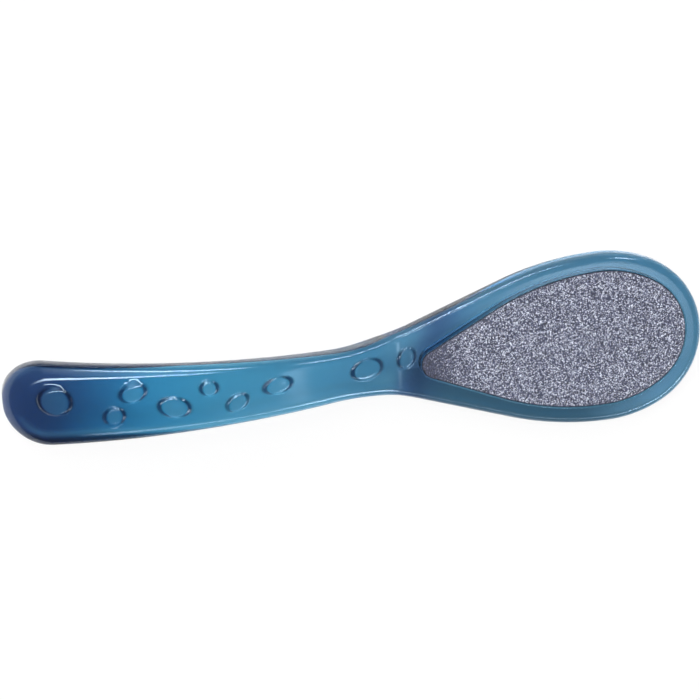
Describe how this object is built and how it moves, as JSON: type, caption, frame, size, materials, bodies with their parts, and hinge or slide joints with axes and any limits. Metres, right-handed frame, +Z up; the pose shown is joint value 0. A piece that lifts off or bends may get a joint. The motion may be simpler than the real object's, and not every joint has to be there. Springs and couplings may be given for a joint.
{
  "type": "foot file",
  "caption": "Double-sided foot file: a clear blue moulded paddle with an arched handle and a drop-shaped abrasive pad let into each face of its broad oval head.",
  "frame": {"origin": "centre of the footprint at table height, the file resting on its handle end and the end of its head", "axes": "+X along the handle towards the head, +Y across the head, +Z up on the side of the coarse pad"},
  "size_m": [0.2304, 0.057, 0.0267],
  "materials": {
    "clear_blue_plastic": "polished, see-through",
    "adhesive": "cured glue film",
    "backing": "resin-bound sheet",
    "coarse_grit": "coarse mineral grit in resin",
    "fine_grit": "fine mineral grit in resin"
  },
  "bodies": {
    "root": {"handle_paddle": "clear_blue_plastic", "front_adhesive_film": "adhesive", "front_backing_sheet": "backing", "front_grit_coat": "coarse_grit", "back_adhesive_film": "adhesive", "back_backing_sheet": "backing", "back_grit_coat": "fine_grit"}
  },
  "joints": []
}
